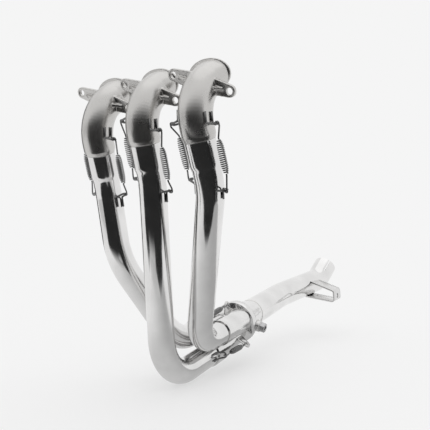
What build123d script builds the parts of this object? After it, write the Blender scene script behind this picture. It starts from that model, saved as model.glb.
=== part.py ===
from build123d import *
import os
from math import acos, atan, cos, degrees, radians, sin, sqrt, tan

# Exhaust header, three into one. Millimetres and degrees.
# The origin is the centre of the middle port's two stud holes, on the lugs' nut face.
# X runs along the row of ports, Y runs rearward and Z runs up.

# Ports and cast stubs
PORT_PITCH = 83.8
PORT_TILT = 20.7
STUB_BORE = 36.0
STUB_OD = 44.5
RIM_WIDTH = 65.2
RIM_HEIGHT = 43.6
RIM_SHIFT = -3.5
RIM_RISE = 6.4
LIP_THICKNESS = 3.5
LIP_STEP = 1.6
FLARE_TURN = 12.0
FLARE_WALL = 4.0
THROAT_RUN = 0.5
ELBOW_REACH = 60.4
ELBOW_RADIUS = 52.0
JOINT_DROP = {"left": 71.6, "centre": 63.9, "right": 67.7}
JOINT_LEAN_X = {"left": -8.8, "centre": -2.2, "right": 1.0}
JOINT_LEAN_Y = {"left": 25.4, "centre": 19.8, "right": 21.5}
STUB_END_OD = 41.0
STUB_END_TAPER = 6.0
SPIGOT_LENGTH = 28.0
SLIP_FIT = 0.3

# Stud lugs on the stubs
LUG_SPACING = 85.2
LUG_HOLE = 9.0
LUG_END_RADIUS = 8.0
LUG_ROOT_WIDTH = 25.0
LUG_SETBACK = 31.9
LUG_THICKNESS = 5.5
LUG_WEDGE = 6.0
LUG_ROLL = 22.3
GUSSET_WIDTH = 4.0
GUSSET_DEPTH = 8.0

# Header tubes
TUBE_OD = 38.1
TUBE_WALL = 1.2
SOCKET_OD = 41.1
SOCKET_LENGTH = 30.0
SWAGE_LENGTH = 10.0
UPPER_BEND = {"left": 60.0, "centre": 110.0, "right": 90.0}
LOWER_BEND = {"left": 65.0, "centre": 72.0, "right": 65.0}
KINK_BEND = 110.0
FIRST_RUN = {"left": 58.3, "centre": 54.0, "right": 64.0}
LAST_RUN = {"left": 61.7, "centre": 135.9, "right": 68.1}
LEFT_KINK = Vector(-84.6, 33.5, -228.8)
INSERTION = 28.0

# Collector
MOUTH_CENTRE = Vector(-34.5, 191.2, -363.5)
COLLECTOR_YAW = 5.7
COLLECTOR_CLIMB = 7.35
MOUTH_SPACING = 43.0
MOUTH_WALL = 2.0
MOUTH_STRAIGHT = 35.0
MERGE_BEND = 80.0
COLLAR_START = 100.0
COLLAR_WIDTH = 15.0
COLLAR_OD = 76.0
CONE_OD = 71.0
FACE_THICKNESS = 6.0
CONE_END = 165.0
CONE_NECK = 7.0

# Link pipe
LINK_OD = 50.8
LINK_WALL = 1.5
LINK_BEND = 90.0
END_BEND = 60.0
KNEE_STATION = 330.0
LINK_YAW = 8.0
LINK_CLIMB = 8.8
LINK_RUN = 153.0
END_YAW = 7.0
END_CLIMB = 39.5
END_RUN = 50.0
SLIT_WIDTH = 2.5
SLIT_LENGTH = 32.0
SLIT_HOLE = 5.0
SLIT_ANGLE = 40.0

# Strap bracket on the link pipe
STRAP_THICKNESS = 3.0
STRAP_WIDTH = 37.0
STRAP_FOLD = 7.0
STRAP_STATION = 102.8
STRAP_REACH = 75.5
STRAP_DROP = 21.3
STRAP_HEIGHT = 26.2
STRAP_ROOT_UP = 18.2
STRAP_CLIMB = 6.0
STRAP_HOLE = 10.5

# Oxygen sensor bung, washer and plug
BUNG_STATION = 125.0
BUNG_ANGLE = -14.0
BUNG_OD = 20.0
BUNG_HEIGHT = 8.0
PLUG_THREAD = 12.0
PLUG_LENGTH = 10.0
PLUG_FIT = 0.2
WASHER_OD = 18.0
WASHER_THICKNESS = 1.5
HEX_ACROSS = 16.0
HEX_HEIGHT = 8.0
PLUG_RECESS = 8.0
RECESS_DEPTH = 5.0

# Wire hooks, springs and their swivels
HOOK_WIRE = 2.8
HOOK_GAUGE = 11.0
HOOK_TIP = 7.0
HOOK_LEG = 14.0
HOOK_REACH = 13.0
HOOK_RISE = 2.5
SEAT_GAP = 0.4
UPPER_HOOK = {"left_inner": 29.0, "left_outer": 24.0, "centre_inner": 35.0,
              "centre_outer": 17.5, "right_inner": 26.5, "right_outer": 19.0}
UPPER_TURN = {"left_inner": -112.0, "left_outer": 84.0, "centre_inner": -92.0,
              "centre_outer": 78.0, "right_inner": -90.0, "right_outer": 78.0}
LOWER_HOOK = {"left_inner": 60.0, "left_outer": 71.5, "centre_inner": 50.0,
              "centre_outer": 66.0, "right_inner": 59.0, "right_outer": 59.5}
LOWER_TURN = {"left_inner": -95.0, "left_outer": 88.0, "centre_inner": -95.0,
              "centre_outer": 84.0, "right_inner": -98.0, "right_outer": 68.0}
COIL_TOP = {"left_inner": 2.5, "left_outer": 0.0, "centre_inner": -11.0,
            "centre_outer": 5.0, "right_inner": -7.0, "right_outer": 1.0}
COIL_TURN = {"left_inner": -95.0, "left_outer": 90.0, "centre_inner": -92.0,
             "centre_outer": 80.0, "right_inner": -94.0, "right_outer": 80.0}
COIL_RADIUS = 32.0
COIL_LENGTH = 44.0
COIL_OD = 9.4
COIL_END_OD = 6.0
COIL_RIDGES = 14
COIL_GROOVE = 0.9
SWIVEL_WIRE = 2.2
SWIVEL_GAP = 0.3
SWIVEL_SHANK = 2.0
WIRE_SIDES = 8

# Springs across the collector joint
TIP_STATION = -2.0
TIP_RADIUS = {"lower": 35.5, "upper": 31.5}
TAB_STATION = 75.0
TAB_RADIUS = {"lower": 43.0, "upper": 39.0}
TAB_THICKNESS = 2.5
TAB_HOLE = 6.0
TAB_EDGE = 4.5
TAB_ROOT = 26.0
LOWER_GROOVE = -39.0
UPPER_GROOVE = 90.0

X_AXIS = Vector(1, 0, 0)


def heading(yaw, climb):
    """Unit direction from a turn toward X off the Y axis and a climb off the level."""
    level = cos(radians(climb))
    return Vector(sin(radians(yaw)) * level, cos(radians(yaw)) * level, sin(radians(climb)))


def across(axis, hint):
    """The part of a hint direction that is square to an axis."""
    return (hint - axis * hint.dot(axis)).normalized()


def run_round(points, radii, diameter, mode=Mode.ADD):
    """Sweep a round section along straight runs joined by arcs in the open part block."""
    with BuildLine() as course:
        FilletPolyline(*points, radius=radii)
    with BuildSketch(Plane(points[0], z_dir=points[1] - points[0])) as section:
        Circle(diameter / 2)
    sweep(sections=section.sketch, path=course.line, mode=mode)


def run_wire(points, diameter):
    """Sweep a many-sided wire along mitred straight runs in the open part block."""
    with BuildLine() as course:
        Polyline(*points)
    with BuildSketch(Plane(points[0], z_dir=points[1] - points[0])) as section:
        RegularPolygon(diameter / 2, WIRE_SIDES)
    sweep(sections=section.sketch, path=course.line, transition=Transition.RIGHT)


def round_bar(start, axis, diameter, length, mode=Mode.ADD):
    """Extrude a round bar from a point along an axis in the open part block."""
    with BuildSketch(Plane(start, z_dir=axis)) as section:
        Circle(diameter / 2)
    extrude(section.sketch, amount=length, mode=mode)


def round_taper(start, axis, diameter, end_diameter, length, mode=Mode.ADD):
    """Extrude a tapering round bar from a point along an axis in the open part block."""
    slope = degrees(atan((diameter - end_diameter) / 2 / length))
    with BuildSketch(Plane(start, z_dir=axis)) as section:
        Circle(diameter / 2)
    extrude(section.sketch, amount=length, taper=slope, mode=mode)


def save(piece, label):
    """Label a finished piece and write it out."""
    piece.part.label = label
    export_step(piece.part, f"parts/{label}.step")


os.makedirs("parts", exist_ok=True)

# Directions and points shared by the pieces
SIDES = {"left": -1, "centre": 0, "right": 1}
PORT_AXIS = heading(0, PORT_TILT)
JOINT_AXES = {name: Vector(tan(radians(JOINT_LEAN_X[name])), tan(radians(JOINT_LEAN_Y[name])),
                           -1).normalized() for name in SIDES}
SOCKET_ID = SOCKET_OD - 2 * TUBE_WALL
TUBE_ID = TUBE_OD - 2 * TUBE_WALL
FLOW = heading(-COLLECTOR_YAW, COLLECTOR_CLIMB)
FLOW_SIDE = across(FLOW, Vector(FLOW.Y, -FLOW.X, 0))
FLOW_UP = FLOW_SIDE.cross(FLOW)
MOUTH_ID = TUBE_OD + SLIP_FIT
MOUTH_OD = MOUTH_ID + 2 * MOUTH_WALL
MOUTH_OFFSET = MOUTH_SPACING / sqrt(3)
MOUTH_BEARING = {"left": 150.0, "centre": -90.0, "right": 30.0}


def flow_out(bearing):
    """Direction square to the collector axis at a bearing from its level side."""
    return FLOW_SIDE * cos(radians(bearing)) + FLOW_UP * sin(radians(bearing))


def flow_point(station, radius=0.0, bearing=0.0):
    """Point at a station along the collector axis and a radius at a bearing."""
    return MOUTH_CENTRE + FLOW * station + flow_out(bearing) * radius


RIMS = {name: X_AXIS * (PORT_PITCH * place) + PORT_AXIS * LUG_SETBACK
        for name, place in SIDES.items()}
CORNERS = {name: rim - PORT_AXIS * ELBOW_REACH for name, rim in RIMS.items()}
JOINTS = {name: CORNERS[name] + JOINT_AXES[name] * JOINT_DROP[name] for name in SIDES}
MOUTHS = {name: flow_point(0, MOUTH_OFFSET, MOUTH_BEARING[name]) for name in SIDES}
COURSES = {}
BENDS = {}
for name in SIDES:
    start = JOINTS[name]
    kinks = [LEFT_KINK] if name == "left" else []
    COURSES[name] = [start, start + JOINT_AXES[name] * FIRST_RUN[name], *kinks,
                     MOUTHS[name] - FLOW * LAST_RUN[name], MOUTHS[name] + FLOW * INSERTION]
    BENDS[name] = [UPPER_BEND[name], *[KINK_BEND for kink in kinks], LOWER_BEND[name]]

# Cast port stubs
PORT_UP = X_AXIS.cross(PORT_AXIS)


def flare(base, axis, size, mouth, inset, mode=Mode.ADD):
    """Blend from a round base to the oval port rim."""
    with BuildSketch(Plane(base, x_dir=X_AXIS, z_dir=axis)) as ring:
        Circle(size / 2)
    with BuildSketch(Plane(mouth, x_dir=X_AXIS, z_dir=PORT_AXIS)) as oval:
        Ellipse(RIM_WIDTH / 2 - inset, RIM_HEIGHT / 2 - inset)
    loft([ring.sketch, oval.sketch], mode=mode)


LUG_OUT = X_AXIS * cos(radians(LUG_ROLL)) - PORT_UP * sin(radians(LUG_ROLL))
for name in SIDES:
    rim, corner, joint, drop_axis = RIMS[name], CORNERS[name], JOINTS[name], JOINT_AXES[name]
    shoulder = joint - drop_axis * STUB_END_TAPER
    lug_face = rim - PORT_AXIS * LUG_SETBACK
    mouth = rim + X_AXIS * RIM_SHIFT + PORT_UP * RIM_RISE
    fold = across(drop_axis, PORT_AXIS)
    swing = acos(PORT_AXIS.dot(-drop_axis))
    bend = swing - radians(FLARE_TURN)
    start = corner + drop_axis * ELBOW_RADIUS * tan(swing / 2)
    crest = start - drop_axis * ELBOW_RADIUS * tan(bend / 2)
    rising = fold * sin(bend) - drop_axis * cos(bend)
    throat = crest + rising * (ELBOW_RADIUS * tan(bend / 2) + THROAT_RUN)
    with BuildPart() as stub:
        run_round([throat, crest, shoulder], ELBOW_RADIUS, STUB_OD)
        flare(throat, rising, STUB_OD, mouth, LIP_STEP)
        round_taper(shoulder, drop_axis, STUB_OD, STUB_END_OD, STUB_END_TAPER)
        round_bar(joint, drop_axis, SOCKET_ID - SLIP_FIT, SPIGOT_LENGTH)
        with BuildSketch(Plane(mouth, x_dir=X_AXIS, z_dir=-PORT_AXIS)):
            Ellipse(RIM_WIDTH / 2, RIM_HEIGHT / 2)
        extrude(amount=LIP_THICKNESS)
        for turn in (LUG_OUT, -LUG_OUT):
            hole_centre = lug_face + turn * (LUG_SPACING / 2)
            with BuildSketch(Plane(lug_face, x_dir=turn, z_dir=PORT_AXIS)) as lug_plan:
                with BuildLine():
                    CenterArc((LUG_SPACING / 2, 0), LUG_END_RADIUS, -90, 180)
                    Line((0, -LUG_ROOT_WIDTH / 2), (0, LUG_ROOT_WIDTH / 2))
                make_hull()
            extrude(lug_plan.sketch, amount=LUG_THICKNESS)
            wedge_end = LUG_SPACING / 2 - LUG_END_RADIUS
            with BuildSketch(Plane(lug_face, x_dir=turn, z_dir=turn.cross(PORT_AXIS))) as wedge:
                Polygon((0, LUG_THICKNESS), (wedge_end, LUG_THICKNESS),
                        (STUB_OD / 2, LUG_THICKNESS + LUG_WEDGE),
                        (0, LUG_THICKNESS + LUG_WEDGE), align=None)
            extrude(wedge.sketch, amount=LUG_END_RADIUS, both=True)
            with BuildSketch(Plane(lug_face, x_dir=turn, z_dir=turn.cross(PORT_AXIS))) as gusset:
                Polygon((0, 0), (wedge_end, 0), (STUB_OD / 2, -GUSSET_DEPTH),
                        (0, -GUSSET_DEPTH), align=None)
            extrude(gusset.sketch, amount=GUSSET_WIDTH / 2, both=True)
            round_bar(hole_centre - PORT_AXIS * GUSSET_DEPTH, PORT_AXIS, LUG_HOLE,
                      GUSSET_DEPTH + LUG_SETBACK, mode=Mode.SUBTRACT)
        run_round([throat, crest, joint + drop_axis * SPIGOT_LENGTH], ELBOW_RADIUS, STUB_BORE,
                  mode=Mode.SUBTRACT)
        flare(throat, rising, STUB_BORE, mouth, LIP_STEP + FLARE_WALL, mode=Mode.SUBTRACT)
    save(stub, f"stub_{name}")

# Header tubes with expanded slip sockets
for name in SIDES:
    course, bends, drop_axis = COURSES[name], BENDS[name], JOINT_AXES[name]
    swage = course[0] + drop_axis * SOCKET_LENGTH
    with BuildPart() as tube:
        run_round(course, bends, TUBE_OD)
        round_bar(course[0], drop_axis, SOCKET_OD, SOCKET_LENGTH)
        round_taper(swage, drop_axis, SOCKET_OD, TUBE_OD, SWAGE_LENGTH)
        run_round(course, bends, TUBE_ID, mode=Mode.SUBTRACT)
        round_bar(course[0], drop_axis, SOCKET_ID, SOCKET_LENGTH, mode=Mode.SUBTRACT)
        round_taper(swage, drop_axis, SOCKET_ID, TUBE_ID, SWAGE_LENGTH, mode=Mode.SUBTRACT)
    save(tube, f"tube_{name}")


def turned(axis, turn):
    """Direction square to a falling axis, turned from the front toward X."""
    side = across(axis, X_AXIS)
    return axis.cross(side) * cos(radians(turn)) + side * sin(radians(turn))


def hook_frame(points, radii, distance):
    """Foot and direction of a hook on a bent run, level with the middle of its legs."""
    with BuildLine():
        course = FilletPolyline(*points, radius=radii)
    middle = distance + HOOK_LEG / 2
    along = course.tangent_at(middle, position_mode=PositionMode.LENGTH)
    foot = course.position_at(middle, position_mode=PositionMode.LENGTH) - along * (HOOK_LEG / 2)
    return foot, along


def hook_points(foot, along, out, seat_od):
    """Corner points of a formed wire hook: two legs on a round seat and a raised loop."""
    side = along.cross(out)
    gauge, tip = HOOK_GAUGE / 2, HOOK_TIP / 2
    seat = sqrt((seat_od / 2 + HOOK_WIRE / 2 + SEAT_GAP) ** 2 - gauge ** 2)
    low = foot + out * seat
    high = foot + along * HOOK_RISE + out * (seat + HOOK_REACH)
    return [low - along * HOOK_LEG - side * gauge, low - side * gauge, high - side * tip,
            high + side * tip, low + side * gauge, low - along * HOOK_LEG + side * gauge]


def swivel_points(start, tip, along, out):
    """Corner points of a swivel that reaches past a loop and turns back round it."""
    clear = (HOOK_WIRE + SWIVEL_WIRE) / 2 + SWIVEL_GAP
    return [start, start + along * SWIVEL_SHANK, tip - along * clear + out * clear,
            tip + along * clear + out * clear, tip + along * clear - out * clear,
            tip - along * HOOK_WIRE / 2 - out * clear]


def coil_barrel(top, bottom):
    """Ridged barrel of a close-wound spring in the open part block."""
    axis = bottom - top
    steps = 2 * COIL_RIDGES
    rings = []
    for step in range(steps + 1):
        swell = min(1.0, 4 * min(step, steps - step) / steps)
        width = COIL_END_OD + (COIL_OD - COIL_END_OD) * swell - (step % 2 == 0) * COIL_GROOVE
        with BuildSketch(Plane(top + axis * (step / steps), x_dir=across(axis.normalized(), X_AXIS),
                               z_dir=axis)) as ring:
            RegularPolygon(width / 2, WIRE_SIDES)
        rings.append(ring.sketch)
    loft(rings, ruled=True)


# Wire hooks and springs across the stub joints
for label in COIL_TURN:
    name = label.split("_")[0]
    joint, drop_axis = JOINTS[name], JOINT_AXES[name]
    upper_foot, rise = hook_frame([joint, CORNERS[name], RIMS[name]], [ELBOW_RADIUS],
                                  UPPER_HOOK[label])
    upper_out = turned(-rise, UPPER_TURN[label])
    upper = hook_points(upper_foot, -rise, upper_out, STUB_OD)
    lower_foot, fall = hook_frame(COURSES[name], BENDS[name], LOWER_HOOK[label])
    lower_out = turned(fall, LOWER_TURN[label])
    lower = hook_points(lower_foot, -fall, lower_out, TUBE_OD)
    coil_top = joint + drop_axis * COIL_TOP[label]
    coil_top = coil_top + turned(drop_axis, COIL_TURN[label]) * COIL_RADIUS
    coil_bottom = coil_top + drop_axis * COIL_LENGTH
    with BuildPart() as stub_hook:
        run_wire(upper, HOOK_WIRE)
    save(stub_hook, f"stub_hook_{label}")
    with BuildPart() as tube_hook:
        run_wire(lower, HOOK_WIRE)
    save(tube_hook, f"tube_hook_{label}")
    with BuildPart() as coil:
        coil_barrel(coil_top, coil_bottom)
    save(coil, f"spring_{label}")
    with BuildPart() as upper_swivel:
        run_wire(swivel_points(coil_top, (upper[2] + upper[3]) / 2, -drop_axis, upper_out),
                 SWIVEL_WIRE)
    save(upper_swivel, f"swivel_upper_{label}")
    with BuildPart() as lower_swivel:
        run_wire(swivel_points(coil_bottom, (lower[2] + lower[3]) / 2, drop_axis, lower_out),
                 SWIVEL_WIRE)
    save(lower_swivel, f"swivel_lower_{label}")

# Collector: three slip sockets that merge, a collar and a cone
COLLAR_END = COLLAR_START + COLLAR_WIDTH
NECK_END = CONE_END + CONE_NECK
LINK_ID = LINK_OD - 2 * LINK_WALL
MERGE_SHRINK = (CONE_OD - MOUTH_OD) / 2 / MOUTH_OFFSET
BUNG_OUT = flow_out(BUNG_ANGLE)
BUNG_SLOPE = (BUNG_STATION - COLLAR_END) / (CONE_END - COLLAR_END)
BUNG_SEAT = CONE_OD / 2 + (LINK_OD - CONE_OD) / 2 * BUNG_SLOPE
with BuildPart() as collector:
    runs = []
    for name in SIDES:
        straight = MOUTHS[name] + FLOW * MOUTH_STRAIGHT
        drift = (MERGE_SHRINK - 1) / (COLLAR_START - MOUTH_STRAIGHT)
        shrink = 1 + drift * (COLLAR_END - MOUTH_STRAIGHT)
        end = flow_point(COLLAR_END, MOUTH_OFFSET * shrink, MOUTH_BEARING[name])
        runs.append([MOUTHS[name], straight, end])
        run_round(runs[-1], MERGE_BEND, MOUTH_OD)
    with BuildSketch(Plane(MOUTH_CENTRE, x_dir=FLOW, z_dir=FLOW_UP)) as shell:
        Polygon((COLLAR_START, 0), (COLLAR_START, COLLAR_OD / 2), (COLLAR_END, COLLAR_OD / 2),
                (COLLAR_END, CONE_OD / 2), (CONE_END, LINK_OD / 2), (NECK_END, LINK_OD / 2),
                (NECK_END, 0), align=None)
    revolve(shell.sketch, axis=Axis(MOUTH_CENTRE, FLOW))
    inner = CONE_OD / 2 - MOUTH_WALL
    with BuildSketch(Plane(MOUTH_CENTRE, x_dir=FLOW, z_dir=FLOW_UP)) as hollow:
        Polygon((COLLAR_START + FACE_THICKNESS, 0), (COLLAR_START + FACE_THICKNESS, inner),
                (COLLAR_END, inner), (CONE_END, LINK_ID / 2), (NECK_END, LINK_ID / 2),
                (NECK_END, 0), align=None)
    revolve(hollow.sketch, axis=Axis(MOUTH_CENTRE, FLOW), mode=Mode.SUBTRACT)
    for run in runs:
        run_round(run, MERGE_BEND, MOUTH_ID, mode=Mode.SUBTRACT)
    round_bar(flow_point(BUNG_STATION), BUNG_OUT, PLUG_THREAD + PLUG_FIT, COLLAR_OD,
              mode=Mode.SUBTRACT)
save(collector, "collector")

# Oxygen sensor bung with its washer and plug
bung_top = flow_point(BUNG_STATION, BUNG_SEAT + BUNG_HEIGHT, BUNG_ANGLE)
with BuildPart() as bung:
    round_bar(bung_top, -BUNG_OUT, BUNG_OD, BUNG_HEIGHT + BUNG_OD / 4)
    round_bar(bung_top, -BUNG_OUT, PLUG_THREAD + PLUG_FIT, COLLAR_OD / 2, mode=Mode.SUBTRACT)
    add(collector.part, mode=Mode.SUBTRACT)
    with BuildSketch(Plane(MOUTH_CENTRE, x_dir=FLOW, z_dir=FLOW_UP)) as inside:
        Polygon((COLLAR_START, 0), (COLLAR_START, inner), (COLLAR_END, inner),
                (CONE_END, LINK_ID / 2), (CONE_END, 0), align=None)
    revolve(inside.sketch, axis=Axis(MOUTH_CENTRE, FLOW), mode=Mode.SUBTRACT)
save(bung, "sensor_bung")

with BuildPart() as washer:
    with BuildSketch(Plane(bung_top, z_dir=BUNG_OUT)) as washer_plan:
        Circle(WASHER_OD / 2)
        Circle((PLUG_THREAD + PLUG_FIT) / 2, mode=Mode.SUBTRACT)
    extrude(washer_plan.sketch, amount=WASHER_THICKNESS)
save(washer, "plug_washer")

plug_seat = bung_top + BUNG_OUT * WASHER_THICKNESS
with BuildPart() as plug:
    with BuildSketch(Plane(plug_seat, z_dir=BUNG_OUT)) as hexagon:
        RegularPolygon(HEX_ACROSS / 2, 6, major_radius=False)
    extrude(hexagon.sketch, amount=HEX_HEIGHT)
    round_bar(plug_seat, -BUNG_OUT, PLUG_THREAD, PLUG_LENGTH)
    round_bar(plug_seat + BUNG_OUT * HEX_HEIGHT, -BUNG_OUT, PLUG_RECESS, RECESS_DEPTH,
              mode=Mode.SUBTRACT)
save(plug, "bung_plug")

# Link pipe with a slit outlet end
LINK_DIR = heading(LINK_YAW, LINK_CLIMB)
END_DIR = heading(END_YAW, END_CLIMB)
knee = flow_point(KNEE_STATION)
crook = knee + LINK_DIR * LINK_RUN
outlet = crook + END_DIR * END_RUN
link_course = [flow_point(NECK_END), knee, crook, outlet]
link_bends = [LINK_BEND, END_BEND]
end_side = across(END_DIR, Vector(END_DIR.Y, -END_DIR.X, 0))
end_up = end_side.cross(END_DIR)
slit_out = end_side * cos(radians(SLIT_ANGLE)) + end_up * sin(radians(SLIT_ANGLE))
slit_foot = outlet - END_DIR * SLIT_LENGTH
with BuildPart() as link:
    run_round(link_course, link_bends, LINK_OD)
    run_round(link_course, link_bends, LINK_ID, mode=Mode.SUBTRACT)
    with BuildSketch(Plane(slit_foot, x_dir=END_DIR, z_dir=slit_out)) as slit:
        with Locations((SLIT_LENGTH, 0)):
            Rectangle(2 * SLIT_LENGTH, SLIT_WIDTH)
        Circle(SLIT_HOLE / 2)
    extrude(slit.sketch, amount=LINK_OD, mode=Mode.SUBTRACT)
save(link, "link_pipe")

# Folded strap bracket on the link pipe
strap_foot = knee + LINK_DIR * STRAP_STATION
with BuildPart() as bracket:
    strap_plane = Plane(strap_foot, x_dir=X_AXIS, z_dir=-heading(0, STRAP_CLIMB))
    with BuildSketch(strap_plane) as strap:
        Polygon((0, STRAP_ROOT_UP), (STRAP_REACH, STRAP_HEIGHT / 2 - STRAP_DROP),
                (STRAP_REACH, -STRAP_HEIGHT / 2 - STRAP_DROP), (0, 1 - LINK_OD / 2), align=None)
        fillet(strap.vertices().group_by(Axis.X)[-1], STRAP_FOLD)
        offset(amount=-STRAP_THICKNESS, mode=Mode.SUBTRACT)
    extrude(strap.sketch, amount=STRAP_WIDTH / 2, both=True)
    round_bar(strap_foot + X_AXIS * LINK_OD / 2 - strap_plane.y_dir * STRAP_DROP, X_AXIS, STRAP_HOLE,
              STRAP_REACH, mode=Mode.SUBTRACT)
    run_round(link_course, link_bends, LINK_OD, mode=Mode.SUBTRACT)
save(bracket, "link_bracket")

# Springs across the collector joint, one in each of two grooves between the sockets
for label, groove, name in (("lower", LOWER_GROOVE, "centre"), ("upper", UPPER_GROOVE, "right")):
    out = flow_out(groove)
    side = FLOW.cross(out)
    tip = flow_point(TIP_STATION, TIP_RADIUS[label], groove)
    tube_centre = MOUTHS[name] + FLOW * (TIP_STATION - HOOK_RISE)
    tube_out = across(FLOW, tip - tube_centre)
    loop = hook_points(tube_centre, FLOW, tube_out, TUBE_OD)
    loop_tip = (loop[2] + loop[3]) / 2
    eye = flow_point(TAB_STATION, TAB_RADIUS[label], groove)
    pull = (eye - loop_tip).normalized()
    middle = (eye + loop_tip) / 2
    coil_near = middle - pull * (COIL_LENGTH / 2)
    coil_far = middle + pull * (COIL_LENGTH / 2)
    with BuildPart() as tab:
        with BuildSketch(Plane(flow_point(TAB_STATION), x_dir=FLOW, z_dir=FLOW.cross(out))) as plate:
            with BuildLine():
                CenterArc((0, TAB_RADIUS[label]), TAB_HOLE / 2 + TAB_EDGE, 0, 180)
                Line((-TAB_ROOT / 2, MOUTH_OD / 4), (TAB_ROOT / 2, MOUTH_OD / 4))
            make_hull()
            with Locations((0, TAB_RADIUS[label])):
                Circle(TAB_HOLE / 2, mode=Mode.SUBTRACT)
        extrude(plate.sketch, amount=TAB_THICKNESS / 2, both=True)
        for run in runs:
            run_round(run, MERGE_BEND, MOUTH_OD, mode=Mode.SUBTRACT)
    save(tab, f"collector_tab_{label}")
    with BuildPart() as collector_hook:
        run_wire(loop, HOOK_WIRE)
    save(collector_hook, f"collector_hook_{label}")
    with BuildPart() as coil:
        coil_barrel(coil_near, coil_far)
    save(coil, f"collector_spring_{label}")
    with BuildPart() as near_swivel:
        run_wire(swivel_points(coil_near, loop_tip, -pull, tube_out), SWIVEL_WIRE)
    save(near_swivel, f"collector_swivel_near_{label}")
    beside = (TAB_THICKNESS + SWIVEL_WIRE) / 2 + SWIVEL_GAP
    clear = TAB_HOLE / 2 + TAB_EDGE + SWIVEL_WIRE
    with BuildPart() as far_swivel:
        run_wire([coil_far, coil_far + pull * SWIVEL_SHANK, eye - pull * clear + side * beside,
                  eye + side * beside, eye - side * beside, eye - pull * clear - side * beside],
                 SWIVEL_WIRE)
    save(far_swivel, f"collector_swivel_far_{label}")
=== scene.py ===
from math import acos, cos, degrees, pi, radians, sin, sqrt, tan

import bmesh
import bpy
import numpy as np
from mathutils import Matrix, Vector


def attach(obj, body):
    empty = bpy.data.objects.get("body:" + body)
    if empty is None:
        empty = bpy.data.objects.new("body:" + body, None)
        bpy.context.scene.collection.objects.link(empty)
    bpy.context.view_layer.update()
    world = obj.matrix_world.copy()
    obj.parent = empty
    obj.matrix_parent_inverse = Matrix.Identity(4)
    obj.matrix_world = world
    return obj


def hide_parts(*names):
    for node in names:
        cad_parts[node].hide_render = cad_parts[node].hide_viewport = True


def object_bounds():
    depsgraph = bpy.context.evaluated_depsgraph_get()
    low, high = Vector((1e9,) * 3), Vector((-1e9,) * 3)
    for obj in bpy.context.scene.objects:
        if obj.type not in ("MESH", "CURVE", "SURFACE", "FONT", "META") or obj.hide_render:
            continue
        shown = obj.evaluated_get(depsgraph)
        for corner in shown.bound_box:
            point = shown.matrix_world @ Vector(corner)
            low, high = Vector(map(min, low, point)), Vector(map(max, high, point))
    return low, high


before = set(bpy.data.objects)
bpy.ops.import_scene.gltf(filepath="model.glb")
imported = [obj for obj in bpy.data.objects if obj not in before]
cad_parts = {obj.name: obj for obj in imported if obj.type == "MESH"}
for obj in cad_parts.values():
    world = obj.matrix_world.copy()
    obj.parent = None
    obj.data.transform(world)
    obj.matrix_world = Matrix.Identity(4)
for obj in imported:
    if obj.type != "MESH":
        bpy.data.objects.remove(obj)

CAD_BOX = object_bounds()
MM = 0.001

# Sizes shared with the solids, in millimetres and degrees
PORT_PITCH, PORT_TILT, LUG_SETBACK = 83.8, 20.7, 31.9
STUB_OD, ELBOW_REACH, ELBOW_RADIUS = 44.5, 60.4, 52.0
JOINT_DROP = {"left": 71.6, "centre": 63.9, "right": 67.7}
JOINT_LEAN_X = {"left": -8.8, "centre": -2.2, "right": 1.0}
JOINT_LEAN_Y = {"left": 25.4, "centre": 19.8, "right": 21.5}
TUBE_OD, TUBE_WALL, SOCKET_OD = 38.1, 1.2, 41.1
SOCKET_LENGTH, SWAGE_LENGTH = 30.0, 10.0
UPPER_BEND = {"left": 60.0, "centre": 110.0, "right": 90.0}
LOWER_BEND = {"left": 65.0, "centre": 72.0, "right": 65.0}
KINK_BEND = 110.0
FIRST_RUN = {"left": 58.3, "centre": 54.0, "right": 64.0}
LAST_RUN = {"left": 61.7, "centre": 135.9, "right": 68.1}
INSERTION = 28.0
COLLECTOR_YAW, COLLECTOR_CLIMB, MOUTH_SPACING = 5.7, 7.35, 43.0
MOUTH_BEARING = {"left": 150.0, "centre": -90.0, "right": 30.0}
MOUTH_WALL, MOUTH_STRAIGHT, MERGE_BEND, SLIP_FIT = 2.0, 35.0, 80.0, 0.3
COLLAR_START, COLLAR_WIDTH, COLLAR_OD, CONE_OD = 100.0, 15.0, 76.0, 71.0
CONE_END, CONE_NECK = 165.0, 7.0
LINK_OD, LINK_WALL, LINK_BEND, END_BEND = 50.8, 1.5, 90.0, 60.0
KNEE_STATION, LINK_YAW, LINK_CLIMB, LINK_RUN = 330.0, 8.0, 8.8, 153.0
END_YAW, END_CLIMB, END_RUN = 7.0, 39.5, 50.0
SLIT_WIDTH, SLIT_LENGTH, SLIT_HOLE, SLIT_ANGLE = 2.5, 32.0, 5.0, 40.0
BUNG_STATION, BUNG_ANGLE, BUNG_OD, BUNG_HEIGHT = 125.0, -14.0, 20.0, 8.0
WASHER_OD, WASHER_THICKNESS, HEX_ACROSS, HEX_HEIGHT = 18.0, 1.5, 16.0, 8.0
PLUG_THREAD, PLUG_LENGTH, PLUG_FIT = 12.0, 10.0, 0.2
PLUG_RECESS, RECESS_DEPTH = 8.0, 5.0
HOOK_WIRE, HOOK_GAUGE, HOOK_TIP, HOOK_LEG = 2.8, 11.0, 7.0, 14.0
HOOK_REACH, HOOK_RISE, SEAT_GAP = 13.0, 2.5, 0.4
UPPER_HOOK = {"left_inner": 29.0, "left_outer": 24.0, "centre_inner": 35.0,
              "centre_outer": 17.5, "right_inner": 26.5, "right_outer": 19.0}
UPPER_TURN = {"left_inner": -112.0, "left_outer": 84.0, "centre_inner": -92.0,
              "centre_outer": 78.0, "right_inner": -90.0, "right_outer": 78.0}
LOWER_HOOK = {"left_inner": 60.0, "left_outer": 71.5, "centre_inner": 50.0,
              "centre_outer": 66.0, "right_inner": 59.0, "right_outer": 59.5}
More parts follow.
